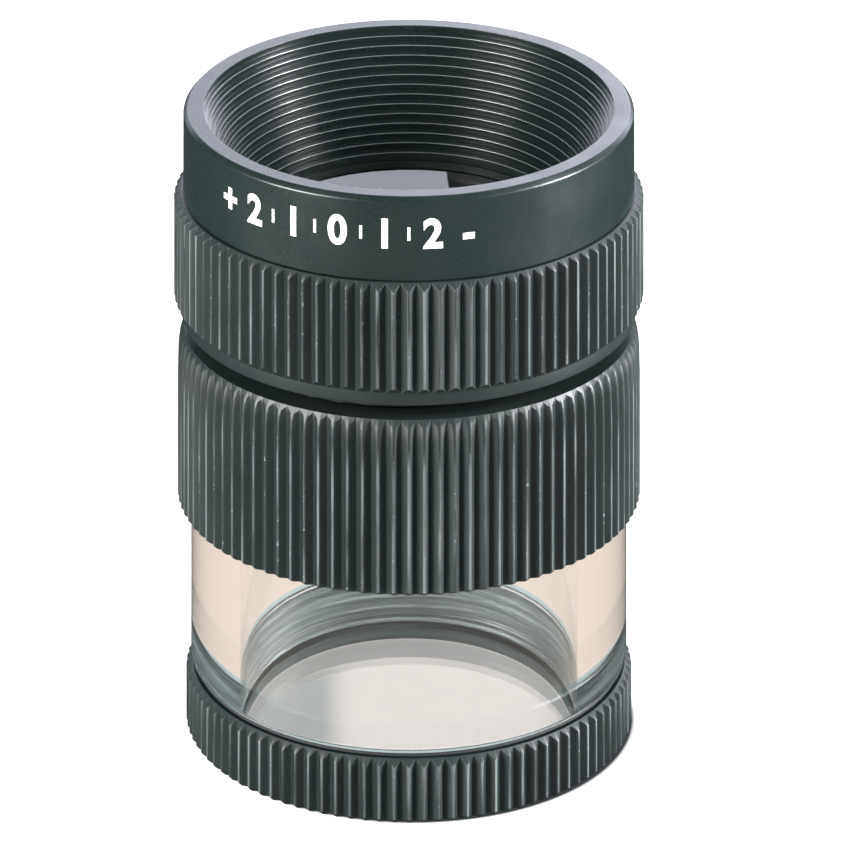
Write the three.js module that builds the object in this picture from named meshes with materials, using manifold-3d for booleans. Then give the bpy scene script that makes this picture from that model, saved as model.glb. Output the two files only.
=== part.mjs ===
// A focusing loupe: an eyepiece with two cemented lenses screws up and down in a knurled sleeve,
// the sleeve holds a clear tube, and the tube screws into a knurled base ring with a cover glass.
// Millimetres, +Z up. The origin is the middle of the base ring's underside.
import * as THREE from 'three';
import { mergeVertices } from 'three/addons/utils/BufferGeometryUtils.js';
import Module from 'manifold-3d';

const wasm = await Module();
wasm.setup();

// Driving dimensions
const HEIGHT = 49.4; // base to rim
const GAP = 0.05; // between pieces that are fixed to each other
const RUNNING = 0.1; // radial clearance of the two screw threads
const TEETH = 96; // in each knurled ring
const KNURL_DEPTH = 0.5;
const SIDES = 36; // facets of a turned surface
const LENS_SIDES = 24;

// Eyepiece: a plain band above the focusing grip, with a stepped funnel inside
const BAND_R = 18.25;
const BAND_BOTTOM = 42.8;
const RIM_CHAMFER = 0.35;
const FUNNEL_TOP_R = 16.6;
const FUNNEL_BOTTOM_R = 12.7;
const FUNNEL_BOTTOM = 40.5;
const FUNNEL_STEPS = 13;
const STEP_LAND = 0.16; // flat crest at the top of each step
const SPIGOT_R = 17.2;
const SPIGOT_BOTTOM = 37.6;
const FUNNEL_UNDERSIDE = 39.85;

// Focusing grip ring
const GRIP_CREST_R = 19;
const GRIP_BOTTOM = 33.1;
const GRIP_TEETH_BOTTOM = 34.65;
const GRIP_LIP_R = 15.9;
const GRIP_LIP_TOP = 34.15;

// Lens barrel
const BARREL_R = 15.5; // over its focusing thread
const BARREL_BOTTOM = 22.65;
const NECK_TOP = FUNNEL_UNDERSIDE - GAP;
const LENS_BORE_R = 13;
const LENS_LIP_R = 12.5;
const LENS_LIP_BOTTOM = 39.25;
const CLIP_GROOVE = { r: 14.9, bottom: 23.2, top: 23.9 };
const O_RING_GROOVE = { r: 14.3, bottom: 28.3, top: 29.7 };

// Lenses: two equal cemented pairs with their flints outwards
const LENS_R = 12.9;
const OUTER_CURVE = 200; // hollow face of the eye flint, and the field flint's
const CEMENT_CURVE = 30;
const INNER_CURVE = 38;
const CROWN_THICKNESS = 5.8;
const FLINT_THICKNESS = 1.3;
const PAIR_GAP = 0.3;

// Grip sleeve
const SLEEVE_CREST_R = 18.7;
const SLEEVE_BOTTOM = 18.2;
const SLEEVE_TOP = 31.9;
const SLEEVE_THREAD_BOTTOM = 25.4;

// Clear tube
const TUBE_R = 17.6;
const TUBE_BORE_R = 13.65;
const TUBE_SPIGOT_R = 16.6;
const TUBE_SPIGOT_TOP = 21.55;
const TUBE_CHAMFER = 0.4;
const TUBE_THREAD_R = 16.65;
const TUBE_END = 2;

// Base ring and what it holds
const BASE_CREST_R = 18;
const BASE_TOP = 4.95;
const LEDGE_R = 13.6;
const LEDGE_TOP = 0.9;
const GLASS_R = 16;
const GLASS_THICKNESS = 0.85;
const GASKET_THICKNESS = 0.2;
const GASKET_OUTER_R = 17.15;
const WASHER_BORE_R = 14;

// Set screws that lock the eyepiece to the barrel
const SCREW_R = 0.8;
const SCREW_Z = 38.72;
const SCREW_COUNT = 3;

const BLACK = { color: 0x2a3232, roughness: 0.45, metalness: 0.3 };
const CLEAR = { color: 0xf1ece6, roughness: 0.03, metalness: 0, transparent: true, opacity: 0.3 };
const GLASS = { color: 0xdfe9ee, roughness: 0.02, metalness: 0, transparent: true, opacity: 0.35 };
const RUBBER = { color: 0x1c1d1e, roughness: 0.85, metalness: 0 };
const STEEL = { color: 0xa9acb0, roughness: 0.3, metalness: 1 };

const loupe = new THREE.Group();

function add(name, geometry, finish) {
  const mesh = new THREE.Mesh(geometry, new THREE.MeshStandardMaterial(finish));
  mesh.name = name;
  loupe.add(mesh);
}

// Turns a closed outline of [radius, z] points, counter-clockwise with radius to the right.
function revolve(outline, sides = SIDES) {
  const points = outline.map(([r, z]) => new THREE.Vector2(r, z));
  const onAxis = outline[0][0] === 0;
  if (!onAxis) points.push(points[0].clone());
  return new THREE.LatheGeometry(points, sides).rotateX(Math.PI / 2);
}

function collar(innerR, outerR, bottom, top) {
  return revolve([[innerR, bottom], [outerR, bottom], [outerR, top], [innerR, top]]);
}

function toSolid(geometry) {
  const bare = geometry.index ? geometry.toNonIndexed() : geometry.clone();
  bare.deleteAttribute('normal');
  bare.deleteAttribute('uv');
  const merged = mergeVertices(bare, 1e-4);
  return new wasm.Manifold(new wasm.Mesh({
    numProp: 3,
    vertProperties: merged.attributes.position.array,
    triVerts: new Uint32Array(merged.index.array),
  }));
}

function toGeometry(solid) {
  const mesh = solid.getMesh();
  const geometry = new THREE.BufferGeometry();
  geometry.setAttribute('position', new THREE.BufferAttribute(mesh.vertProperties, 3));
  geometry.setIndex(new THREE.BufferAttribute(mesh.triVerts, 1));
  geometry.computeVertexNormals();
  return geometry;
}

// A solid bar with V-grooved teeth along it. Each row is [z, crest radius, valley radius].
function knurledBar(rows) {
  const columns = 2 * TEETH;
  const positions = [];
  for (const [z, crest, valley] of rows) {
    for (let column = 0; column < columns; column++) {
      const radius = column % 2 ? valley : crest;
      const angle = (Math.PI * column) / TEETH;
      positions.push(radius * Math.cos(angle), radius * Math.sin(angle), z);
    }
  }
  const bottomCentre = rows.length * columns;
  const topCentre = bottomCentre + 1;
  positions.push(0, 0, rows[0][0], 0, 0, rows[rows.length - 1][0]);
  const faces = [];
  for (let column = 0; column < columns; column++) {
    const next = (column + 1) % columns;
    faces.push(bottomCentre, next, column);
    const topRow = (rows.length - 1) * columns;
    faces.push(topCentre, topRow + column, topRow + next);
    for (let row = 0; row + 1 < rows.length; row++) {
      const low = row * columns;
      const high = low + columns;
      faces.push(low + column, low + next, high + next);
      faces.push(low + column, high + next, high + column);
    }
  }
  const geometry = new THREE.BufferGeometry();
  geometry.setAttribute('position', new THREE.Float32BufferAttribute(positions, 3));
  geometry.setIndex(faces);
  return geometry;
}

// A knurled bar with a turned core taken out of it.
function knurledRing(rows, core) {
  return toGeometry(toSolid(knurledBar(rows)).subtract(toSolid(revolve(core))));
}

// One face of a lens from the axis outwards. A positive curve rises towards the edge.
function lensFace(vertexZ, curve) {
  const steps = 4;
  const face = [];
  for (let i = 0; i <= steps; i++) {
    const r = (LENS_R * i) / steps;
    const rise = Math.abs(curve) - Math.sqrt(curve * curve - r * r);
    face.push([r, vertexZ + Math.sign(curve) * rise]);
  }
  return face;
}

// A lens between two faces, each [vertex height, curve].
function addLens(name, bottom, top) {
  const outline = [...lensFace(...bottom), ...lensFace(...top).reverse()];
  add(name, revolve(outline, LENS_SIDES), GLASS);
}

function eyepieceRing() {
  const outline = [
    [SPIGOT_R, SPIGOT_BOTTOM], [SPIGOT_R, BAND_BOTTOM + GAP], [BAND_R, BAND_BOTTOM + GAP],
    [BAND_R, HEIGHT - RIM_CHAMFER], [BAND_R - RIM_CHAMFER, HEIGHT], [FUNNEL_TOP_R, HEIGHT],
  ];
  const inward = (FUNNEL_TOP_R - FUNNEL_BOTTOM_R) / FUNNEL_STEPS;
  const down = (HEIGHT - FUNNEL_BOTTOM) / FUNNEL_STEPS;
  for (let step = 1; step <= FUNNEL_STEPS; step++) {
    const floorZ = HEIGHT - down * step;
    const wallR = FUNNEL_TOP_R - inward * (step - 1) + STEP_LAND;
    outline.push([wallR, floorZ + STEP_LAND], [FUNNEL_TOP_R - inward * step, floorZ]);
  }
  const neckR = BARREL_R + GAP;
  outline.push([FUNNEL_BOTTOM_R, FUNNEL_UNDERSIDE], [neckR, FUNNEL_UNDERSIDE], [neckR, SPIGOT_BOTTOM]);
  let ring = toSolid(revolve(outline));
  for (const turn of screwTurns()) {
    const hole = new THREE.CylinderGeometry(SCREW_R + GAP, SCREW_R + GAP, 3, 16)
      .rotateZ(Math.PI / 2)
      .translate((neckR + SPIGOT_R) / 2, 0, SCREW_Z)
      .rotateZ(turn);
    ring = ring.subtract(toSolid(hole));
  }
  return toGeometry(ring);
}

function screwTurns() {
  return Array.from({ length: SCREW_COUNT }, (_, i) => (2 * Math.PI * (i + 0.25)) / SCREW_COUNT);
}

// A headless screw with a hexagon socket, lying along +X between the neck and the grip ring.
function setScrew(turn) {
  const inner = BARREL_R + 2 * GAP;
  const length = SPIGOT_R - GAP - inner;
  const socketDepth = 0.7;
  const socketR = 0.45;
  const shank = new THREE.CylinderGeometry(SCREW_R, SCREW_R, length, 16)
    .rotateZ(Math.PI / 2)
    .translate(inner + length / 2, 0, 0);
  const socket = new THREE.CylinderGeometry(socketR, socketR, 2 * socketDepth, 6)
    .rotateZ(Math.PI / 2)
    .translate(inner + length, 0, 0);
  const screw = toGeometry(toSolid(shank).subtract(toSolid(socket)));
  return screw.translate(0, 0, SCREW_Z).rotateZ(turn);
}

function focusGripRing() {
  const bandR = GRIP_CREST_R - KNURL_DEPTH;
  const edge = 0.3;
  const boreR = SPIGOT_R + GAP;
  const rows = [
    [GRIP_BOTTOM, bandR - edge, bandR - edge],
    [GRIP_BOTTOM + edge, bandR, bandR],
    [GRIP_TEETH_BOTTOM - KNURL_DEPTH, bandR, bandR],
    [GRIP_TEETH_BOTTOM, GRIP_CREST_R, bandR],
    [BAND_BOTTOM - KNURL_DEPTH, GRIP_CREST_R, bandR],
    [BAND_BOTTOM, bandR, bandR],
  ];
  return knurledRing(rows, [
    [0, GRIP_BOTTOM - 1], [GRIP_LIP_R, GRIP_BOTTOM - 1], [GRIP_LIP_R, GRIP_LIP_TOP],
    [boreR, GRIP_LIP_TOP], [boreR, BAND_BOTTOM + 1], [0, BAND_BOTTOM + 1],
  ]);
}

function lensBarrel() {
  const flangeBottom = GRIP_LIP_TOP + GAP;
  const flangeTop = SPIGOT_BOTTOM - GAP;
  const { r: clipR, bottom: clipBottom, top: clipTop } = CLIP_GROOVE;
  const { r: sealR, bottom: sealBottom, top: sealTop } = O_RING_GROOVE;
  return revolve([
    [LENS_BORE_R, BARREL_BOTTOM], [BARREL_R, BARREL_BOTTOM],
    [BARREL_R, clipBottom], [clipR, clipBottom], [clipR, clipTop], [BARREL_R, clipTop],
    [BARREL_R, sealBottom], [sealR, sealBottom], [sealR, sealTop], [BARREL_R, sealTop],
    [BARREL_R, flangeBottom], [SPIGOT_R, flangeBottom], [SPIGOT_R, flangeTop], [BARREL_R, flangeTop],
    [BARREL_R, NECK_TOP], [LENS_LIP_R, NECK_TOP], [LENS_LIP_R, LENS_LIP_BOTTOM],
    [LENS_BORE_R, LENS_LIP_BOTTOM],
  ]);
}

// Height that a face with this curve gains between the axis and a radius.
function sag(curve, r) {
  return curve - Math.sqrt(curve * curve - r * r);
}

function addLenses() {
  const eyeTop = LENS_LIP_BOTTOM - GAP - sag(OUTER_CURVE, LENS_R);
  const eyeCement = eyeTop - FLINT_THICKNESS;
  const eyeBottom = eyeCement - CROWN_THICKNESS;
  const fieldTop = eyeBottom - PAIR_GAP;
  const fieldCement = fieldTop - CROWN_THICKNESS;
  const fieldBottom = fieldCement - FLINT_THICKNESS;
  addLens('eye_flint_lens', [eyeCement, -CEMENT_CURVE], [eyeTop, OUTER_CURVE]);
  addLens('eye_crown_lens', [eyeBottom, INNER_CURVE], [eyeCement - GAP, -CEMENT_CURVE]);
  add('lens_spacer', lensSpacer(eyeBottom, fieldTop), BLACK);
  addLens('field_crown_lens', [fieldCement + GAP, CEMENT_CURVE], [fieldTop, -INNER_CURVE]);
  addLens('field_flint_lens', [fieldBottom, -OUTER_CURVE], [fieldCement, CEMENT_CURVE]);
  add('lens_lock_ring', lensLockRing(fieldBottom), BLACK);
}

// Holds the two pairs apart at their edges; its ends follow the curved faces.
function lensSpacer(upperVertex, lowerVertex) {
  const innerR = 11.9;
  const outerR = LENS_R - GAP;
  const top = (r) => upperVertex + sag(INNER_CURVE, r) - GAP;
  const bottom = (r) => lowerVertex - sag(INNER_CURVE, r) + GAP;
  return revolve([
    [innerR, bottom(innerR)], [outerR, bottom(outerR)], [outerR, top(outerR)], [innerR, top(innerR)],
  ]);
}

// Screws into the barrel from below; two slots take a spanner.
function lensLockRing(fieldVertex) {
  const innerR = 11.6;
  const top = fieldVertex - sag(OUTER_CURVE, LENS_R) - GAP;
  const slot = new THREE.BoxGeometry(2 * LENS_R + 1, 1.2, 1).translate(0, 0, BARREL_BOTTOM);
  const ring = toSolid(collar(innerR, LENS_R, BARREL_BOTTOM, top));
  return toGeometry(ring.subtract(toSolid(slot)));
}

// Snap ring at the foot of the barrel that stops it at the top of its travel.
function stopClip() {
  const outerR = 16.2;
  const innerR = CLIP_GROOVE.r + GAP;
  const thickness = CLIP_GROOVE.top - CLIP_GROOVE.bottom - 2 * GAP;
  const opening = 0.3;
  const outline = new THREE.Shape();
  outline.absarc(0, 0, outerR, opening, 2 * Math.PI - opening, false);
  outline.absarc(0, 0, innerR, 2 * Math.PI - opening, opening, true);
  const settings = { depth: thickness, bevelEnabled: false, curveSegments: 40 };
  return new THREE.ExtrudeGeometry(outline, settings).translate(0, 0, CLIP_GROOVE.bottom + GAP);
}

function dragRing() {
  const cordR = 0.55;
  const middleR = BARREL_R - cordR;
  const middleZ = (O_RING_GROOVE.bottom + O_RING_GROOVE.top) / 2;
  return new THREE.TorusGeometry(middleR, cordR, 8, 40).translate(0, 0, middleZ);
}

function gripSleeve() {
  const valleyR = SLEEVE_CREST_R - KNURL_DEPTH;
  const edge = 0.3;
  const threadR = BARREL_R + RUNNING;
  const socketR = TUBE_SPIGOT_R + 2 * GAP;
  const mouth = 0.4;
  const rows = [
    [SLEEVE_BOTTOM, SLEEVE_CREST_R - edge, valleyR],
    [SLEEVE_BOTTOM + edge, SLEEVE_CREST_R, valleyR],
    [SLEEVE_TOP - KNURL_DEPTH, SLEEVE_CREST_R, valleyR],
    [SLEEVE_TOP, valleyR, valleyR],
  ];
  return knurledRing(rows, [
    [0, SLEEVE_BOTTOM - 1], [socketR, SLEEVE_BOTTOM - 1], [socketR, SLEEVE_THREAD_BOTTOM],
    [threadR, SLEEVE_THREAD_BOTTOM], [threadR, SLEEVE_TOP - mouth], [threadR + mouth, SLEEVE_TOP],
    [threadR + mouth, SLEEVE_TOP + 1], [0, SLEEVE_TOP + 1],
  ]);
}

function clearTube() {
  const top = SLEEVE_BOTTOM - GAP;
  const shoulder = BASE_TOP + GASKET_THICKNESS + 2 * GAP;
  return revolve([
    [TUBE_BORE_R, TUBE_END], [TUBE_THREAD_R, TUBE_END], [TUBE_THREAD_R, shoulder],
    [TUBE_R - TUBE_CHAMFER, shoulder], [TUBE_R, shoulder + TUBE_CHAMFER], [TUBE_R, top],
    [TUBE_SPIGOT_R, top], [TUBE_SPIGOT_R, TUBE_SPIGOT_TOP], [TUBE_BORE_R, TUBE_SPIGOT_TOP],
  ]);
}

function baseRing() {
  const valleyR = BASE_CREST_R - KNURL_DEPTH;
  const edge = 0.35;
  const threadR = TUBE_THREAD_R + RUNNING;
  const rows = [
    [0, BASE_CREST_R - edge, valleyR - edge / 2],
    [edge, BASE_CREST_R, valleyR],
    [BASE_TOP - KNURL_DEPTH, BASE_CREST_R, valleyR],
    [BASE_TOP, valleyR, valleyR],
  ];
  return knurledRing(rows, [
    [0, -1], [LEDGE_R, -1], [LEDGE_R, LEDGE_TOP],
    [threadR, LEDGE_TOP], [threadR, BASE_TOP + 1], [0, BASE_TOP + 1],
  ]);
}

// Flat ring between the tube's shoulder and the base ring
function tubeGasket() {
  const bottom = BASE_TOP + GAP;
  return collar(TUBE_THREAD_R + 3 * GAP, GASKET_OUTER_R, bottom, bottom + GASKET_THICKNESS);
}

function coverGlass() {
  const bottom = LEDGE_TOP + GAP / 2;
  const top = bottom + GLASS_THICKNESS;
  return revolve([[0, bottom], [GLASS_R, bottom], [GLASS_R, top], [0, top]]);
}

// Soft ring between the cover glass and the tube's end
function glassWasher() {
  const glassTop = LEDGE_TOP + GAP / 2 + GLASS_THICKNESS;
  return collar(WASHER_BORE_R, GLASS_R - GAP, glassTop + GAP, TUBE_END - GAP);
}

add('eyepiece_ring', eyepieceRing(), BLACK);
screwTurns().forEach((turn, i) => add(`set_screw_${i + 1}`, setScrew(turn), STEEL));
add('focus_grip_ring', focusGripRing(), BLACK);
add('lens_barrel', lensBarrel(), BLACK);
addLenses();
add('stop_clip', stopClip(), STEEL);
add('drag_ring', dragRing(), RUBBER);
add('grip_sleeve', gripSleeve(), BLACK);
add('clear_tube', clearTube(), CLEAR);
add('tube_gasket', tubeGasket(), RUBBER);
add('base_ring', baseRing(), BLACK);
add('cover_glass', coverGlass(), GLASS);
add('glass_washer', glassWasher(), RUBBER);

export default loupe;
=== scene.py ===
"""The looks of a focusing loupe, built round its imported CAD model. Lengths are in metres."""
import math

import bmesh
import bpy
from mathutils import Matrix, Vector


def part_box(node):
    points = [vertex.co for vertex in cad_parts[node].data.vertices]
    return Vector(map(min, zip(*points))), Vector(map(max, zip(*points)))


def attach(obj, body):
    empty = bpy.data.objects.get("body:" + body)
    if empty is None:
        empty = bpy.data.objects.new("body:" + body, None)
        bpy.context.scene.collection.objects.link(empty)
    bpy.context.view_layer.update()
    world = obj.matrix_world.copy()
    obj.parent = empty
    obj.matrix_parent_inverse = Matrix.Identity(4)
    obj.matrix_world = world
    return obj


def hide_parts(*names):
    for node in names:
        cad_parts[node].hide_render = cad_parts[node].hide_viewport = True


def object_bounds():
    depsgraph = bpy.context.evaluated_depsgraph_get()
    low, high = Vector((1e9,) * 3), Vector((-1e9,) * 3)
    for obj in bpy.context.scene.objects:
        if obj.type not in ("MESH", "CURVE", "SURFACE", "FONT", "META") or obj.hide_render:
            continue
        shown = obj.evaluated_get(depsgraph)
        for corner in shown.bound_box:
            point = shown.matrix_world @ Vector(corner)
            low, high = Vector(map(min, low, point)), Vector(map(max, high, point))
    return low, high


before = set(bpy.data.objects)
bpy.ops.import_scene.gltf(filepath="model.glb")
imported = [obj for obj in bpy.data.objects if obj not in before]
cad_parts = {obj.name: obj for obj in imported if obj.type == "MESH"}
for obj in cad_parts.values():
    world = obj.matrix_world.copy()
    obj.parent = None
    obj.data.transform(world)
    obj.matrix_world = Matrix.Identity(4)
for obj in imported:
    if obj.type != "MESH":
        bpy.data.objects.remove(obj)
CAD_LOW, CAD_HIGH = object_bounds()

MM = 0.001
TAU = 2 * math.pi

# Points round a turned piece, and round a small hidden ring
COLUMNS = 240
RING_COLUMNS = 180

# Sizes that several pieces share
TEETH = 96  # in each knurled ring
KNURL_DEPTH = 0.5 * MM
THREAD_PITCH = 0.75 * MM
THREAD_DEPTH = 0.38 * MM
FOCUS_STARTS = 4  # the focusing thread's lead is four pitches
BARREL_RADIUS = 15.5 * MM  # over its focusing thread
GAP = 0.05 * MM  # between pieces that are fixed to each other
BASE_BORE = 16.75 * MM
TUBE_BORE = 13.65 * MM
TUBE_THREAD_RADIUS = 16.65 * MM
EYE_LENS_DISH = 26 * MM  # radius of the hollow that the lens coating seems to have

# Refractive indices
ACRYLIC_IOR = 1.49
PLATE_IOR = 1.52
LENS_IOR = 1.55

# What reflections see of the studio
FRONT_GLOW = (0.31, 0.325, 0.325)
BACK_GLOW = (0.08, 0.09, 0.09)
CEILING_GLOW = (0.06, 0.065, 0.065)
PANEL_GLOW = (4.7, 4.8, 5.5)
FILL_GLOW = (3.0, 3.1, 3.6)
OVERHEAD_GLOW = (2.4, 2.45, 2.8)

# What is seen through the clear parts
WARM_GLOW = (0.97, 0.82, 0.73)
COOL_GLOW = (0.62, 0.73, 0.75)
PLATE_GLOW = (2.7, 2.35, 2.3)
# The floor inside the tube's bore is painted shade, standing in for the shade that the loupe casts there.
FLOOR_INSIDE_SHADE = (0.44, 0.43, 0.425)

# Lamps, in watts and metres
LEFT_POWER = 7.5
RIGHT_POWER = 10.5
LAMP_DISTANCE = 0.5


def place(node):
    """Foot height, top height and outer radius of a CAD node."""
    low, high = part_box(node)
    return low.z, high.z, high.x


# ---------------------------------------------------------------- meshes


def around(radius, height, angle):
    return radius * math.cos(angle), radius * math.sin(angle), height


def circle(centre, radius, count):
    """Points round a circle in the (radius, height) plane."""
    angles = [TAU * i / count for i in range(count)]
    return [(centre[0] + radius * math.cos(a), centre[1] + radius * math.sin(a)) for a in angles]


def rounded(corners, steps=3):
    """A closed outline with rounded corners. A corner is (radius, height) or (radius, height, fillet)."""
    outline = []
    longest = 0.45  # share of a side that one fillet may take
    for i, corner in enumerate(corners):
        here = Vector(corner[:2])
        if len(corner) == 2:
            outline.append(tuple(here))
            continue
        before = Vector(corners[i - 1][:2]) - here
        after = Vector(corners[(i + 1) % len(corners)][:2]) - here
        reach = min(corner[2], longest * before.length, longest * after.length)
        start = here + before.normalized() * reach
        stop = here + after.normalized() * reach
        for j in range(steps + 1):
            t = j / steps
            point = start * (1 - t) ** 2 + here * 2 * t * (1 - t) + stop * t ** 2
            outline.append(tuple(point))
    return outline


def make_object(name, verts, faces, material, sharp_degrees):
    """A mesh object with shared points merged, faces pointing out, and edges sharp from an angle."""
    mesh = bpy.data.meshes.new(name)
    mesh.from_pydata(verts, [], faces)
    edit = bmesh.new()
    edit.from_mesh(mesh)
    bmesh.ops.remove_doubles(edit, verts=edit.verts, dist=1e-7)
    bmesh.ops.recalc_face_normals(edit, faces=edit.faces)
    edit.to_mesh(mesh)
    edit.free()
    mesh.set_sharp_from_angle(angle=math.radians(sharp_degrees))
    mesh.materials.append(material)
    piece = bpy.data.objects.new(name, mesh)
    bpy.context.scene.collection.objects.link(piece)
    level = piece.modifiers.new("level_faces", "WEIGHTED_NORMAL")
    level.keep_sharp = True
    level.weight = 100
    return piece


def strips(rows, columns, closed=True):
    """Four-sided faces between neighbouring rings of points. A closed skin joins the last to the first."""
    faces = []
    for row in range(rows if closed else rows - 1):
        low, high = row * columns, (row + 1) % rows * columns
        for column in range(columns):
            after = (column + 1) % columns
            faces.append((low + column, low + after, high + after, high + column))
    return faces


def loft(name, rows, columns, point, material, sharp_degrees):
    """Joins rings of points into a closed skin. point(row, angle) gives (radius, height)."""
    angles = [TAU * column / columns for column in range(columns)]
    verts = [around(*point(row, angle), angle) for row in rows for angle in angles]
    return make_object(name, verts, strips(len(rows), columns), material, sharp_degrees)


def as_drawn(row, angle):
    """The point() of a loft whose rows are already (radius, height)."""
    return row


def turned(name, corners, material):
    """A small ring turned from a closed outline of (radius, height[, fillet]) corners."""
    return loft(name, rounded(corners), RING_COLUMNS, as_drawn, material, sharp_degrees=35)


def disc(name, bottom, top, material):
    """A solid of revolution between two open faces that start on the axis."""
    rings = [p for p in [*bottom, *reversed(top)] if p[0] > 0]
    verts = [around(*ring, TAU * column / COLUMNS) for ring in rings for column in range(COLUMNS)]
    faces = strips(len(rings), COLUMNS, closed=False)
    foot, head = len(verts), len(verts) + 1
    verts += [(0, 0, bottom[0][1]), (0, 0, top[0][1])]
    last = (len(rings) - 1) * COLUMNS
    for column in range(COLUMNS):
        after = (column + 1) % COLUMNS
        faces.append((foot, after, column))
        faces.append((head, last + column, last + after))
    return make_object(name, verts, faces, material, sharp_degrees=20)


# Cross-section of one tooth: (share of the pitch, share of the depth below the crest)
TOOTH = [
    (0.0, 1.0), (0.04, 0.97), (0.14, 0.75), (0.3, 0.32), (0.38, 0.12), (0.43, 0.03), (0.465, 0.0),
    (0.535, 0.0), (0.57, 0.03), (0.62, 0.12), (0.7, 0.32), (0.86, 0.75), (0.96, 0.97),
]


def knurled(name, skin, core, material):
    """A ring with V-grooved teeth. skin rows are (crest point, valley point); core is a plain outline."""
    rows = skin + [(p, p) for p in core]
    columns = []
    for tooth in range(TEETH):
        columns += [(TAU * (tooth + share - 0.5) / TEETH, depth) for share, depth in TOOTH]
    verts = []
    for crest, valley in rows:
        for angle, depth in columns:
            radius = crest[0] + (valley[0] - crest[0]) * depth
            height = crest[1] + (valley[1] - crest[1]) * depth
            verts.append(around(radius, height, angle))
    return make_object(name, verts, strips(len(rows), len(columns)), material, sharp_degrees=28)


def same(radius, height):
    """A knurled ring's row where crest and valley meet."""
    return (radius, height), (radius, height)


def tooth_tops(crest, valley, top):
    """Rows that end the teeth in 45-degree chamfers under a flat top, with the edges softened."""
    soft = 0.03 * MM
    return [
        ((crest, top - KNURL_DEPTH - 0.04 * MM), (valley, top - 0.12 * MM)),
        ((crest - soft, top - KNURL_DEPTH + soft), (valley - 0.01 * MM, top - soft)),
        same(valley - 0.04 * MM, top),
    ]


def thread_wave(height, angle, starts=1):
    """0 at the root and 1 at the crest of a thread with flattened crests and roots."""
    turn = (height / THREAD_PITCH + starts * -angle / TAU) % 1
    wave = 1 - abs(2 * turn - 1)
    return min(1.0, max(0.0, 1.25 * wave - 0.1))


def fade(height, low, high, run):
    """Lets a thread run out at both ends."""
    return max(0.0, min(1.0, (height - low) / run, (high - height) / run))


def thread_rows(low, high, step):
    """Rows for loft() that have a height and leave the radius to the thread."""
    count = round((high - low) / step)
    return [(None, low + (high - low) * i / count) for i in range(count + 1)]


def repaint(piece, material, wanted):
    """Gives a further material to the faces that wanted(face) picks."""
    piece.data.materials.append(material)
    for face in piece.data.polygons:
        if wanted(face):
            face.material_index = len(piece.data.materials) - 1


# ------------------------------------------------------------- materials


class Shader:
    """A node material under construction. Noise scales are per metre."""

    def __init__(self, name):
        self.material = bpy.data.materials.new(name)
        self.material.use_nodes = True
        self.tree = self.material.node_tree
        self.tree.nodes.clear()
        self.output = self.tree.nodes.new("ShaderNodeOutputMaterial")
        self.coords = self.tree.nodes.new("ShaderNodeTexCoord").outputs["Object"]

    def node(self, kind, inputs, **settings):
        made = self.tree.nodes.new("ShaderNode" + kind)
        for key, value in settings.items():
            setattr(made, key, value)
        for key, value in inputs.items():
            self.feed(made.inputs[key], value)
        return made.outputs[0]

    def feed(self, socket, value):
        if isinstance(value, bpy.types.NodeSocket):
            self.tree.links.new(value, socket)
        else:
            socket.default_value = value

    def light_path(self):
        return self.tree.nodes.new("ShaderNodeLightPath").outputs

    def math(self, operation, a, b):
        return self.node("Math", {0: a, 1: b}, operation=operation)

    def vector(self, operation, a, b=(0, 0, 0)):
        return self.node("VectorMath", {0: a, 1: b}, operation=operation)

    def noise(self, scale, detail, roughness, vector=None):
        inputs = {"Vector": vector or self.coords, "Scale": scale, "Detail": detail, "Roughness": roughness}
        return self.node("TexNoise", inputs)

    def stretched_noise(self, scales, detail, roughness):
        stretched = self.node("Mapping", {"Vector": self.coords, "Scale": scales})
        return self.noise(1.0, detail, roughness, stretched)

    def ramp(self, value, low, high, to_low=0.0, to_high=1.0):
        return self.node("MapRange", {0: value, 1: low, 2: high, 3: to_low, 4: to_high})

    def mix_colour(self, share, a, b):
        made = self.tree.nodes.new("ShaderNodeMix")
        made.data_type = "RGBA"
        for index, value in ((0, share), (6, a), (7, b)):
            self.feed(made.inputs[index], value)
        return made.outputs[2]

    def mix(self, share, a, b):
        return self.node("MixShader", {0: share, 1: a, 2: b})

    def bump(self, height, distance, strength, normal=None):
        inputs = {"Height": height, "Distance": distance, "Strength": strength}
        if normal is not None:
            inputs["Normal"] = normal
        return self.node("Bump", inputs)

    def finish(self, surface):
        self.tree.links.new(surface, self.output.inputs["Surface"])
        return self.material


def rgb(r, g, b):
    return (r, g, b, 1.0)


def radius_of(shader, aside=0.0):
    """Distance from the object's upright axis, or from a line that stands aside of it, to the right."""
    moved = shader.vector("ADD", shader.coords, (-aside, 0, 0))
    flat = shader.vector("MULTIPLY", moved, (1, 1, 0))
    length = shader.tree.nodes.new("ShaderNodeVectorMath")
    length.operation = "LENGTH"
    shader.feed(length.inputs[0], flat)
    return length.outputs["Value"]


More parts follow.
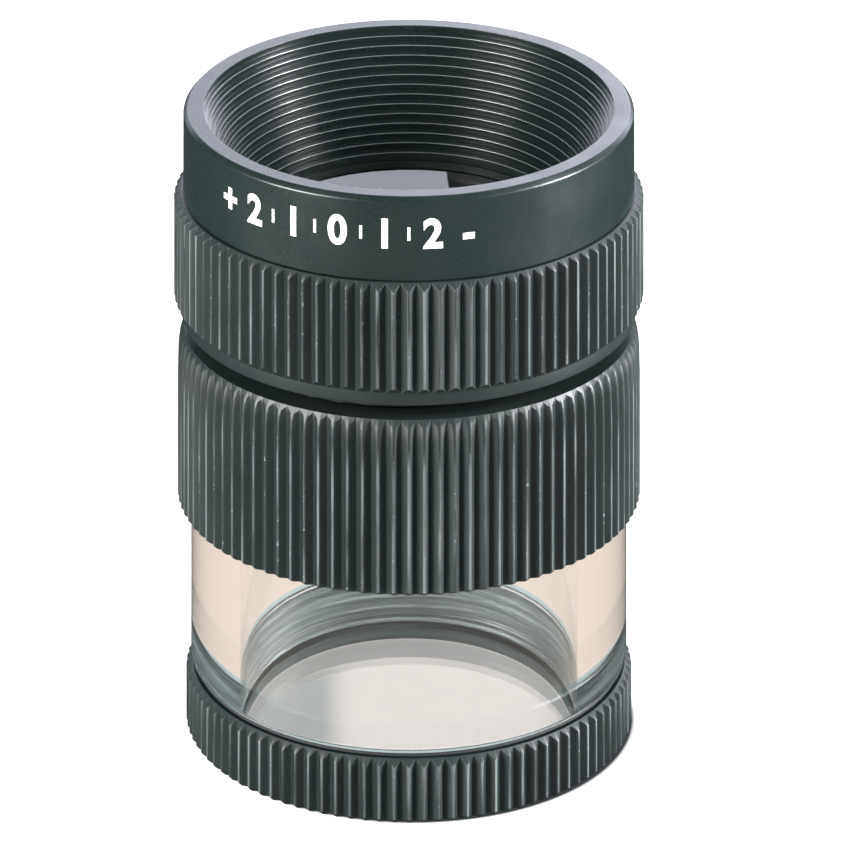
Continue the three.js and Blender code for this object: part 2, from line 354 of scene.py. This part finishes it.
def anodised(name, roughness, crest_radius=None):
    """Satin black anodised aluminium: a teal cast, fine speckle, faint turning marks, burnished crests."""
    s = Shader(name)
    speckle = s.noise(8500, 2.0, 0.6)
    cloud = s.noise(260, 3.0, 0.5)
    grain = s.ramp(speckle, 0.35, 0.65)
    dark, light = rgb(0.0036, 0.0078, 0.0074), rgb(0.0066, 0.0128, 0.0121)
    colour = s.mix_colour(grain, dark, light)
    cloudy = s.ramp(cloud, 0.3, 0.7, -0.04, 0.05)
    speckled = s.ramp(speckle, 0.3, 0.7, roughness - 0.02, roughness + 0.02)
    rough = s.math("ADD", cloudy, speckled)
    if crest_radius:
        bare_metal = rgb(0.13, 0.15, 0.15)
        worn = crest_wear(s, crest_radius)
        colour = s.mix_colour(worn, colour, bare_metal)
        rough = s.math("SUBTRACT", rough, s.math("MULTIPLY", worn, 0.1))
    turning = s.stretched_noise((300, 300, 9000), 2.0, 0.6)
    relief = 0.006 * MM
    normal = s.bump(speckle, relief, 0.4)
    normal = s.bump(turning, relief, 0.3, normal)
    return s.finish(s.node("BsdfPrincipled", {"Base Color": colour, "Roughness": rough, "Normal": normal}))


def crest_wear(s, crest_radius):
    """How bare the metal is: streaks along the tooth crests, and small chips."""
    edge = s.ramp(radius_of(s), crest_radius - 0.045 * MM, crest_radius - 0.005 * MM)
    streaks = s.ramp(s.stretched_noise((620, 620, 60), 3.0, 0.7), 0.42, 0.7, 0.03, 0.9)
    chips = s.ramp(s.noise(2600, 2.0, 0.5), 0.66, 0.72)
    return s.math("MULTIPLY", edge, s.math("MAXIMUM", streaks, chips))


def clear_material(name, tint, ior):
    """Clear plastic or glass with a faint tint and smears. Shadow and diffuse rays pass straight through."""
    s = Shader(name)
    smear = s.ramp(s.noise(120, 3.0, 0.5), 0.35, 0.75, 0.0, 0.012)
    glass = s.node("BsdfGlass", {"Color": tint, "Roughness": smear, "IOR": ior})
    through = s.node("BsdfTransparent", {"Color": tint})
    path = s.light_path()
    passes = s.math("MAXIMUM", path["Is Shadow Ray"], path["Is Diffuse Ray"])
    return s.finish(s.mix(passes, glass, through))


def frosted(name):
    """Acrylic left from the cutter: it scatters light, in rings round the axis."""
    s = Shader(name)
    rings = s.stretched_noise((40, 40, 2300), 2.0, 0.6)
    grey = s.mix_colour(s.ramp(rings, 0.4, 0.64), rgb(0.03, 0.05, 0.055), rgb(0.36, 0.42, 0.425))
    scatter = s.node("BsdfDiffuse", {"Color": grey})
    glow = s.node("BsdfTranslucent", {"Color": grey})
    matt = s.mix(0.5, scatter, glow)
    glass = s.node("BsdfGlass", {"Color": rgb(0.95, 0.97, 0.97), "Roughness": 0.25, "IOR": ACRYLIC_IOR})
    return s.finish(s.mix(0.45, glass, matt))


def coated_face(name, tint, ior, dish):
    """The eye lens's top face: clear glass, with a coating that mirrors like a hollow of radius dish."""
    s = Shader(name)
    glass = s.node("BsdfGlass", {"Color": tint, "Roughness": 0.0, "IOR": ior})
    inward = s.vector("MULTIPLY", s.coords, (-1 / dish, -1 / dish, 0))
    hollow = s.vector("ADD", inward, (0, 0, 1))
    to_world = {"vector_type": "NORMAL", "convert_from": "OBJECT", "convert_to": "WORLD"}
    normal = s.vector("NORMALIZE", s.node("VectorTransform", {0: hollow}, **to_world))
    mirror = s.node("BsdfAnisotropic", {"Color": rgb(1, 1, 1), "Roughness": 0.03, "Normal": normal})
    share = s.node("Fresnel", {"IOR": ior})
    return s.finish(s.mix(share, glass, mirror))


def plain(name, colour, roughness, scale, metallic=0.0):
    """Rubber, steel, paint, or the funnel's step lips, whose lighter colour is a painted highlight, with a
    fine grain.
    """
    s = Shader(name)
    grain = s.noise(scale, 3.0, 0.55)
    dark = rgb(*(0.8 * c for c in colour))
    tone = s.mix_colour(grain, dark, rgb(*colour))
    rough = s.ramp(grain, 0.3, 0.7, roughness - 0.06, roughness + 0.06)
    normal = s.bump(grain, 0.01 * MM, 0.4)
    looks = {"Base Color": tone, "Roughness": rough, "Metallic": metallic, "Normal": normal}
    return s.finish(s.node("BsdfPrincipled", looks))


def painted_shade_black(name):
    """Matt black that mirrors nothing: painted shade, for a face that should look shaded."""
    s = Shader(name)
    return s.finish(s.node("BsdfDiffuse", {"Color": rgb(0.006, 0.01, 0.01)}))


# ---------------------------------------------------------------- pieces


def keep(piece, body, node):
    """Lets a piece ride on a body and stand for a CAD node."""
    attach(piece, body)
    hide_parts(node)


def funnel_steps(rim, top_radius, bottom_radius):
    """Outline of the funnel's anti-glare steps from the rim down, each undercut and rounded at its lip."""
    steps, bottom = 13, 40.5 * MM
    inward = (top_radius - bottom_radius) / steps
    down = (rim - bottom) / steps
    under, lip = 0.15 * MM, 0.07 * MM
    outline = []
    for step in range(steps):
        start = top_radius - inward * step
        stop = start - inward
        tread = rim - down * (step + 1)
        outline += [
            (start + 0.3 * under, tread + 0.7 * down), (start + under, tread + 0.25 * down),
            (start + under, tread + 0.08 * MM), (start + 0.6 * under, tread + 0.03 * MM),
            (start - 0.4 * inward, tread + 0.01 * MM), (stop + lip, tread),
            (stop + 0.3 * lip, tread - 0.3 * lip), (stop, tread - lip),
        ]
    return outline


def eyepiece_ring():
    """The plain band at the top, with the funnel inside and a spigot that fits over the barrel."""
    foot, rim, radius = place("eyepiece_ring")
    band_foot = place("focus_grip_ring")[1] + GAP
    underside = place("lens_barrel")[1] + GAP
    spigot = place("lens_barrel")[2]
    neck = BARREL_RADIUS + GAP
    mouth, throat = 16.6 * MM, 12.7 * MM
    chamfer = 0.35 * MM
    outline = rounded([
        (spigot, foot, 0.1 * MM), (spigot, band_foot), (radius, band_foot, 0.08 * MM),
        (radius, rim - chamfer, 0.09 * MM), (radius - chamfer, rim, 0.06 * MM),
        (mouth, rim, 0.05 * MM), (mouth, rim - 0.1 * MM),
    ], 4)[:-1]
    outline += funnel_steps(rim, mouth, throat)
    outline += [(throat, underside), (neck, underside), (neck, foot)]
    black = anodised("eyepiece_black", 0.3)
    piece = loft("eyepiece_body", outline, COLUMNS, as_drawn, black, sharp_degrees=38)

    def is_step_edge(face):
        faces_in = face.normal.x * face.center.x + face.normal.y * face.center.y < 0
        return faces_in and 0.2 < face.normal.z < 0.6 and face.center.z < rim - 0.2 * MM

    # The step lips get a lighter colour than the black: a painted highlight along each step's edge.
    repaint(piece, plain("funnel_step_painted_highlight", (0.1, 0.11, 0.11), 0.3, 2600), is_step_edge)
    keep(piece, "eyepiece", "eyepiece_ring")


def focus_grip():
    """The upper knurled ring: teeth above a plain band, and a lip under the barrel's flange."""
    foot, top, crest = place("focus_grip_ring")
    valley = crest - KNURL_DEPTH
    teeth = foot + 1.55 * MM
    edge = 0.3 * MM
    lip, lip_top, bore = 15.9 * MM, foot + 1.05 * MM, place("lens_barrel")[2] + GAP
    skin = [
        same(lip + 0.1 * MM, foot), same(valley - edge, foot),
        same(valley - 0.35 * edge, foot + 0.2 * edge), same(valley - 0.05 * MM, foot + edge),
        same(valley - 0.02 * MM, teeth - KNURL_DEPTH),
        ((crest - 0.03 * MM, teeth - 0.06 * MM), (valley, teeth - KNURL_DEPTH)),
        ((crest, teeth + 0.03 * MM), (valley, teeth - 0.4 * MM)),
        *tooth_tops(crest, valley, top),
    ]
    core = [(bore, top), (bore, lip_top), (lip, lip_top), (lip, foot + 0.1 * MM)]
    piece = knurled("focus_grip", skin, core, anodised("grip_black", 0.47, crest))
    keep(piece, "eyepiece", "focus_grip_ring")


def sleeve():
    """The long knurled sleeve, with a socket for the clear tube below and a bore for the barrel above."""
    foot, top, crest = place("grip_sleeve")
    valley = crest - KNURL_DEPTH
    edge = 0.3 * MM
    bore = BARREL_RADIUS + 0.1 * MM
    socket, shelf = 16.7 * MM, 25.4 * MM
    mouth = 0.4 * MM
    skin = [
        same(socket + 0.05 * MM, foot), same(valley - 0.05 * MM, foot),
        ((crest - edge, foot + 0.01 * MM), (valley, foot + 0.03 * MM)),
        ((crest - 0.03 * MM, foot + edge - 0.04 * MM), (valley, foot + 0.06 * MM)),
        ((crest, foot + edge + 0.03 * MM), (valley, foot + 0.1 * MM)),
    ]
    # The crests draw in towards the top: how far in, and how far below the top the crest and the valley are
    taper = [(0, 4, 3.5), (0.05, 1.8, 1.3), (0.12, 1, 0.6), (0.24, 0.5, 0.12)]
    for inset, crest_drop, valley_drop in taper:
        skin.append(((crest - inset * MM, top - crest_drop * MM), (valley, top - valley_drop * MM)))
    skin.append(same(valley - 0.04 * MM, top))
    core = [
        (bore + mouth + 0.04 * MM, top), (bore + mouth - 0.02 * MM, top - 0.04 * MM),
        (bore, top - mouth), (bore, shelf), (socket, shelf), (socket, foot + 0.05 * MM),
    ]
    piece = knurled("grip_sleeve_body", skin, core, anodised("sleeve_black", 0.47, crest))
    keep(piece, "holder", "grip_sleeve")


def base():
    """The knurled ring at the foot, with a ledge inside for the cover glass."""
    foot, top, crest = place("base_ring")
    valley = crest - KNURL_DEPTH
    edge = 0.35 * MM
    ledge_radius, ledge_top = 13.6 * MM, 0.9 * MM
    soft = 0.05 * MM
    skin = [
        same(ledge_radius + 0.08 * MM, foot), same(valley - 0.5 * edge, foot),
        ((crest - edge, foot + 0.02 * MM), (valley - 0.3 * edge, foot + 0.05 * MM)),
        ((crest - 0.04 * MM, foot + edge - 0.05 * MM), (valley, foot + 0.2 * MM)),
        ((crest, foot + edge + 0.04 * MM), (valley, foot + 0.3 * MM)),
        *tooth_tops(crest, valley, top),
    ]
    core = [
        (BASE_BORE + soft, top), (BASE_BORE, top - soft), (BASE_BORE, ledge_top),
        (ledge_radius + 0.03 * MM, ledge_top), (ledge_radius, ledge_top - 0.03 * MM),
        (ledge_radius, foot + 0.08 * MM),
    ]
    piece = knurled("base_ring_body", skin, core, anodised("base_black", 0.47, crest))

    def is_flat_top(face):
        return face.normal.z > 0.9 and face.center.z > top - 0.06 * MM

    # The flat top between the tube and the teeth is painted shade: matt black that mirrors nothing.
    repaint(piece, painted_shade_black("base_top_painted_shade"), is_flat_top)
    keep(piece, "base", "base_ring")


def clear_tube(material, cut_material):
    """The clear tube, with a thread below its shoulder and a plain spigot for the sleeve."""
    foot, top, radius = place("clear_tube")
    shoulder = place("base_ring")[1] + 0.3 * MM
    upper = place("grip_sleeve")[0] - GAP
    spigot = 16.6 * MM
    chamfer = 0.4 * MM
    relief = shoulder - 0.55 * MM
    root = TUBE_THREAD_RADIUS - THREAD_DEPTH
    body = rounded([
        (root, shoulder, 0.05 * MM), (radius - chamfer, shoulder, 0.05 * MM),
        (radius, shoulder + chamfer, 0.15 * MM), (radius, upper, 0.06 * MM), (spigot, upper),
        (spigot, top, 0.1 * MM), (TUBE_BORE, top, 0.08 * MM), (TUBE_BORE, foot, 0.08 * MM),
        (root - 0.05 * MM, foot, 0.08 * MM),
    ])

    def point(row, angle):
        radius_here, height = row
        if radius_here is not None:
            return row
        depth = THREAD_DEPTH * fade(height, foot + 0.05 * MM, relief, 0.3 * MM)
        return root + depth * thread_wave(height, angle), height

    thread = thread_rows(foot + 0.1 * MM, shoulder - 0.1 * MM, 0.06 * MM)
    piece = loft("clear_tube_body", body + thread, COLUMNS, point, material, sharp_degrees=40)

    def is_cut(face):
        outside = math.hypot(face.center.x, face.center.y) > root - 0.03 * MM
        return outside and foot + 0.1 * MM < face.center.z < shoulder + 0.1 * MM

    repaint(piece, cut_material, is_cut)
    keep(piece, "holder", "clear_tube")


def barrel():
    """The lens barrel: a thread broken by the O-ring's groove, and a flange that the grip ring clasps."""
    foot, top, flange = place("lens_barrel")
    radius = BARREL_RADIUS
    bore, lip, lip_foot = 13 * MM, 12.5 * MM, 39.25 * MM
    clip_groove, clip_foot, clip_top = 14.9 * MM, 23.2 * MM, 23.9 * MM
    seal_groove, seal_foot, seal_top = 14.3 * MM, 28.3 * MM, 29.7 * MM
    flange_foot, flange_top = 34.2 * MM, 37.55 * MM
    chamfer, margin, step = 0.3 * MM, 0.05 * MM, 0.075 * MM
    outline = [
        (bore, foot), (radius - chamfer, foot), (radius, foot + chamfer),
        (radius, clip_foot), (clip_groove, clip_foot), (clip_groove, clip_top), (radius, clip_top),
        *thread_rows(clip_top + margin, seal_foot - margin, step),
        (radius, seal_foot), (seal_groove, seal_foot), (seal_groove, seal_top), (radius, seal_top),
        *thread_rows(seal_top + margin, flange_foot - margin, step),
        (radius, flange_foot), (flange, flange_foot), (flange, flange_top), (radius, flange_top),
        (radius, top), (lip, top), (lip, lip_foot), (bore, lip_foot),
    ]

    def point(row, angle):
        radius_here, height = row
        if radius_here is not None:
            return row
        return radius - THREAD_DEPTH * (1 - thread_wave(height, angle, FOCUS_STARTS)), height

    black = anodised("barrel_black", 0.45)
    piece = loft("lens_barrel_body", outline, COLUMNS, point, black, sharp_degrees=38)
    keep(piece, "eyepiece", "lens_barrel")


def sag(curve, radius):
    """Height that a spherical face gains between the axis and a radius."""
    return curve - math.sqrt(curve * curve - radius * radius)


def spherical(vertex, curve, aperture):
    """A lens face from the axis outwards. A positive curve rises towards the edge."""
    steps = 24
    radii = [aperture * i / steps for i in range(steps + 1)]
    return [(r, vertex + math.copysign(sag(abs(curve), r), curve)) for r in radii]


def lenses(glass, edge_black, coating):
    """Two cemented pairs with their flints outwards. Each lens is a lower and an upper spherical face."""
    aperture = place("eye_flint_lens")[2]
    outer, cement, inner = 200 * MM, 30 * MM, 38 * MM
    curves = {
        "eye_flint_lens": (-cement, outer),
        "eye_crown_lens": (inner, -cement),
        "field_crown_lens": (cement, -inner),
        "field_flint_lens": (-outer, cement),
    }
    for name, (lower, upper) in curves.items():
        low, high, _ = place(name)
        # Where a face's rim stands further out than its vertex, the vertex is one sag inside the node's box
        bottom = spherical(low + (sag(-lower, aperture) if lower < 0 else 0), lower, aperture)
        top = spherical(high - (sag(upper, aperture) if upper > 0 else 0), upper, aperture)
        piece = disc(name + "_glass", bottom, top, glass)
        repaint(piece, edge_black, lambda face: abs(face.normal.z) < 0.02)
        if name == "eye_flint_lens":
            repaint(piece, coating, lambda face: face.normal.z > 0.9)
        keep(piece, "eyepiece", name)


def flat_ring(node, bore, body, rubber):
    """A plain rubber ring of rectangular section."""
    foot, top, radius = place(node)
    corners = [(bore, foot), (radius, foot), (radius, top), (bore, top)]
    keep(turned(node + "_ring", corners, rubber), body, node)


def lens_spacer(black):
    """The ring between the lens pairs, whose ends lean to follow the curved faces."""
    foot, top, radius = place("lens_spacer")
    bore, lean, soft = 11.9 * MM, 0.36 * MM, 0.04 * MM
    corners = [(bore, foot + lean), (radius, foot, soft), (radius, top, soft), (bore, top - lean)]
    keep(turned("lens_spacer_ring", corners, black), "eyepiece", "lens_spacer")


def drag_ring(rubber):
    """The O-ring in the barrel's groove."""
    foot, top, radius = place("drag_ring")
    cord = (top - foot) / 2
    outline = circle((radius - cord, foot + cord), cord, 24)
    piece = loft("drag_ring_cord", outline, RING_COLUMNS, as_drawn, rubber, sharp_degrees=60)
    keep(piece, "focus_drag", "drag_ring")


def cover_glass(material):
    """A plain glass plate with bevelled edges."""
    foot, top, radius = place("cover_glass")
    bevel = 0.12 * MM
    bottom = [(0, foot), (0.5 * radius, foot), (radius - bevel, foot), (radius, foot + bevel)]
    upper = [(0, top), (0.5 * radius, top), (radius - bevel, top), (radius, top - bevel)]
    keep(disc("cover_glass_plate", bottom, upper, material), "base", "cover_glass")


def focus_scale():
    """A generic white focusing scale on the band: figures each side of zero, with ticks between them."""
    radius = place("eyepiece_ring")[2] + 0.012 * MM
    baseline = 45.5 * MM
    figures = [("+", -51), ("2", -42), ("1", -30), ("0", -18), ("1", -6), ("2", 6), ("-", 15)]
    ticks = (-36, -24, -12, 0)
    tick_low, tick_high, half_width = baseline + 0.55 * MM, baseline + 1.6 * MM, 0.11 * MM
    verts, faces = [], []
    for text, degrees in figures:
        wrap(flat_figure(text), degrees, baseline, radius, verts, faces)
    for degrees in ticks:
        start = len(verts)
        middle = math.radians(degrees - 90)
        left, right = middle - half_width / radius, middle + half_width / radius
        for angle, height in ((left, tick_low), (right, tick_low), (right, tick_high), (left, tick_high)):
            verts.append(around(radius, height, angle))
        faces.append((start, start + 1, start + 2, start + 3))
    paint = plain("white_print", (0.82, 0.82, 0.8), 0.45, 5000)
    piece = make_object("focus_scale_print", verts, faces, paint, sharp_degrees=60)
    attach(piece, "eyepiece")


def flat_figure(text):
    """The mesh of one figure, lying flat."""
    curve = bpy.data.curves.new("figure", "FONT")
    curve.body = text
    curve.size = 3.15 * MM
    curve.align_x = "CENTER"
    curve.offset = 0.1 * MM
    figure = bpy.data.objects.new("figure", curve)
    bpy.context.scene.collection.objects.link(figure)
    bpy.context.view_layer.update()
    flat = bpy.data.meshes.new_from_object(figure.evaluated_get(bpy.context.evaluated_depsgraph_get()))
    bpy.data.objects.remove(figure)
    return flat


def wrap(flat, degrees, baseline, radius, verts, faces):
    """Cuts a flat figure into strips and bends it round the band, adding it to verts and faces."""
    edit = bmesh.new()
    edit.from_mesh(flat)
    strip = 0.25 * MM
    for i in range(-6, 7):
        geometry = edit.verts[:] + edit.edges[:] + edit.faces[:]
        bmesh.ops.bisect_plane(edit, geom=geometry, plane_co=(i * strip, 0, 0), plane_no=(1, 0, 0))
    start = len(verts)
    for vert in edit.verts:
        verts.append(around(radius, baseline + vert.co.y, math.radians(degrees - 90) + vert.co.x / radius))
    edit.verts.index_update()
    for face in edit.faces:
        faces.append(tuple(start + v.index for v in face.verts))
    edit.free()


def finish_cad_nodes(names, material):
    """Gives CAD nodes whose shape is kept their final material."""
    for name in names:
        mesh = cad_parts[name].data
        mesh.materials.clear()
        mesh.materials.append(material)


# ----------------------------------------------------------------- stage


def floor():
    """Plain white table. Mirror reflections look past it. Through the clear parts it shows dimmer, as flat
    colour: painted shade inside the tube's bore and a warm glow outside it.
    """
    s = Shader("floor_white")
    diffuse = s.node("BsdfDiffuse", {"Color": rgb(0.5, 0.5, 0.5)})
    glow = s.node("Emission", {"Color": rgb(1, 1, 1), "Strength": 0.6})
    open_floor = s.node("AddShader", {0: diffuse, 1: glow})
    # A thin contact shadow shows at the base ring's right, because its circle lies a little to the right
    beside = s.ramp(radius_of(s, 0.5 * MM), 17.5 * MM, 17.9 * MM)
    contact = s.node("Emission", {"Color": rgb(0.05, 0.055, 0.06)})
    open_floor = s.mix(beside, contact, open_floor)
    # Through the clear parts the floor is painted shade, a flat grey, inside the tube's bore, and warm
    # outside it
    outside = s.ramp(radius_of(s), TUBE_BORE - 0.15 * MM, TUBE_BORE + 0.05 * MM)
    covered = s.node("Emission", {"Color": s.mix_colour(outside, rgb(*FLOOR_INSIDE_SHADE), rgb(*WARM_GLOW))})
    material = s.finish(s.mix(s.light_path()["Is Transmission Ray"], open_floor, covered))
    half = 3.0
    corners = [(-half, -half, 0), (half, -half, 0), (half, half, 0), (-half, half, 0)]
    piece = make_object("floor", corners, [(0, 1, 2, 3)], material, sharp_degrees=35)
    piece.visible_glossy = False


def area_light(name, location, target, size, power, colour=(1, 1, 1)):
    """A rectangular lamp, hidden from the camera and from rays through the clear parts."""
    data = bpy.data.lights.new(name, "AREA")
    data.shape = "RECTANGLE"
    data.size, data.size_y = size
    data.energy = power
    data.color = colour
    light = bpy.data.objects.new(name, data)
    light.location = location
    light.visible_camera = False
    light.visible_transmission = False
    light.rotation_euler = (Vector(target) - location).to_track_quat("-Z", "Y").to_euler()
    bpy.context.scene.collection.objects.link(light)


def polar(azimuth, elevation, distance):
    """A place in the studio. Azimuth 0 is the camera's side, and 90 is to the right."""
    a, e = math.radians(azimuth), math.radians(elevation)
    flat = distance * math.cos(e)
    return Vector((flat * math.sin(a), -flat * math.cos(a), distance * math.sin(e)))


class Sky:
    """The world's nodes under construction."""

    def __init__(self):
        world = bpy.data.worlds.new("studio")
        bpy.context.scene.world = world
        world.use_nodes = True
        self.tree = world.node_tree
        self.tree.nodes.clear()

    def node(self, kind, inputs=(), **settings):
        made = self.tree.nodes.new("ShaderNode" + kind)
        for key, value in settings.items():
            setattr(made, key, value)
        for index, value in enumerate(inputs):
            self.feed(made.inputs[index], value)
        return made

    def feed(self, socket, value):
        if isinstance(value, bpy.types.NodeSocket):
            self.tree.links.new(value, socket)
        else:
            socket.default_value = value

    def math(self, operation, a, b):
        return self.node("Math", (a, b), operation=operation).outputs[0]

    def over(self, value, limit):
        return self.math("GREATER_THAN", value, limit)

    def all_of(self, *masks):
        product = masks[0]
        for mask in masks[1:]:
            product = self.math("MULTIPLY", product, mask)
        return product

    def soft(self, value, low, high):
        return self.node("MapRange", (value, low, high), interpolation_type="SMOOTHSTEP").outputs[0]

    def mix(self, share, a, b):
        made = self.node("Mix", data_type="RGBA")
        for index, value in ((0, share), (6, a), (7, b)):
            self.feed(made.inputs[index], value)
        return made.outputs[2]


def mirrored_room(sky, direction):
    """What reflections see: a lit front, a dim back and ceiling, and bright panels behind and overhead.

    The direction's x is to the right, y is away from the camera and z is up.
    """
    x, y, z = direction
    behind = sky.over(y, 0.05)
    aside = sky.math("DIVIDE", x, y)  # 0 is straight behind the object, and positive is to the right
    panel_heights = sky.all_of(behind, sky.soft(z, 0.07, 0.12), sky.soft(z, 0.66, 0.58))
    lean = sky.math("MULTIPLY", sky.math("MAXIMUM", sky.math("SUBTRACT", z, 0.46), 0.0), 0.3)
    left_edge = sky.math("SUBTRACT", lean, 0.0048)
    panel = sky.all_of(panel_heights, sky.over(aside, left_edge), sky.soft(aside, 1.1, 0.7))
    fill = sky.all_of(panel_heights, sky.math("LESS_THAN", aside, -0.045), sky.soft(aside, -0.9, -0.5))
    overhead = sky.all_of(sky.over(z, 0.76), behind, sky.over(x, -0.152))
    room = sky.mix(sky.soft(y, 0.75, -0.5), rgb(*BACK_GLOW), rgb(*FRONT_GLOW))
    room = sky.mix(sky.soft(z, 0.02, 0.3), room, rgb(*CEILING_GLOW))
    room = sky.mix(fill, room, rgb(*FILL_GLOW))
    room = sky.mix(overhead, room, rgb(*OVERHEAD_GLOW))
    return sky.mix(panel, room, rgb(*PANEL_GLOW))


def seen_through(sky, direction):
    """What is seen through the clear parts: a cool room, with a bright panel behind and to the right."""
    x, y, z = direction
    right = sky.soft(sky.math("DIVIDE", x, y), -0.125, -0.06)
    bright = sky.all_of(sky.over(y, 0.05), sky.over(z, 0.3), right)
    return sky.mix(bright, rgb(*COOL_GLOW), rgb(*PLATE_GLOW))


def studio_world():
    """White to the camera, and rooms of their own for reflections and for the clear parts."""
    sky = Sky()
    direction = sky.node("SeparateXYZ", (sky.node("TexCoord").outputs["Generated"],)).outputs
    path = sky.node("LightPath").outputs
    inside = seen_through(sky, direction)
    went_through = sky.over(path["Transmission Depth"], 0.5)
    mirrored = sky.mix(went_through, mirrored_room(sky, direction), inside)
    colour = sky.mix(path["Is Glossy Ray"], rgb(1, 1, 1), mirrored)
    colour = sky.mix(path["Is Transmission Ray"], colour, inside)
    background = sky.node("Background", (colour, 1.0))
    sky.tree.links.new(background.outputs[0], sky.node("OutputWorld").inputs[0])


def studio():
    """The world, the view transform and two lamps: a broad one on the left and a strip on the right."""
    studio_world()
    view = bpy.context.scene.view_settings
    view.view_transform = "Standard"
    view.look = "None"
    target = (0, 0, 0.5 * CAD_HIGH.z)
    left, right = polar(-57, 20, LAMP_DISTANCE), polar(80, 19, LAMP_DISTANCE)
    area_light("left_box", left, target, (0.24, 0.34), LEFT_POWER)
    area_light("right_strip", right, target, (0.07, 0.34), RIGHT_POWER, (0.97, 0.98, 1.0))


def camera():
    """A camera that looks level along +Y, with its lens shifted down to the object."""
    distance, height = 0.6472, 0.3079
    focal_share = 9.412  # focal length in picture widths
    shift = {"shift_x": 0.019, "shift_y": -4.1353}
    data = bpy.data.cameras.new("camera")
    data.sensor_width = 36
    data.lens = data.sensor_width * focal_share
    data.clip_start, data.clip_end = 0.01, 20
    eye = bpy.data.objects.new("camera", data)
    eye.location = (0, -distance, height)
    eye.rotation_euler = (math.pi / 2, 0, 0)
    bpy.context.scene.collection.objects.link(eye)
    for channel, value in shift.items():
        shift_with_own_view(eye, channel, value)
    bpy.context.scene.camera = eye


def shift_with_own_view(eye, channel, value):
    """Drives a lens shift from the camera's rotation mode: 1 (Euler) here, 0 once another view is set."""
    curve = eye.data.driver_add(channel)
    curve.driver.type = "SUM"
    source = curve.driver.variables.new()
    source.type = "SINGLE_PROP"
    source.targets[0].id_type = "OBJECT"
    source.targets[0].id = eye
    source.targets[0].data_path = "rotation_mode"
    for modifier in list(curve.modifiers):
        curve.modifiers.remove(modifier)
    curve.modifiers.new("GENERATOR").coefficients = (0.0, value)


lens_tint = rgb(0.97, 0.99, 0.985)
acrylic = clear_material("acrylic", rgb(0.985, 0.99, 0.985), ACRYLIC_IOR)
lens_glass = clear_material("lens_glass", lens_tint, LENS_IOR)
plate_glass = clear_material("plate_glass", rgb(0.985, 0.995, 0.99), PLATE_IOR)
hidden_black = anodised("hidden_black", 0.5)
rubber = plain("rubber", (0.016, 0.016, 0.017), 0.75, 3000)
steel = plain("steel", (0.55, 0.56, 0.58), 0.28, 6000, metallic=1.0)

eyepiece_ring()
focus_grip()
sleeve()
base()
clear_tube(acrylic, frosted("acrylic_shoulder"))
barrel()
lenses(lens_glass, hidden_black, coated_face("lens_coating", lens_tint, LENS_IOR, EYE_LENS_DISH))
flat_ring("tube_gasket", 16.8 * MM, "tube_seal", rubber)
flat_ring("glass_washer", 14 * MM, "base", rubber)
lens_spacer(hidden_black)
drag_ring(rubber)
cover_glass(plate_glass)
focus_scale()
finish_cad_nodes(["set_screw_1", "set_screw_2", "set_screw_3", "stop_clip"], steel)
finish_cad_nodes(["lens_lock_ring"], hidden_black)
floor()
studio()
camera()
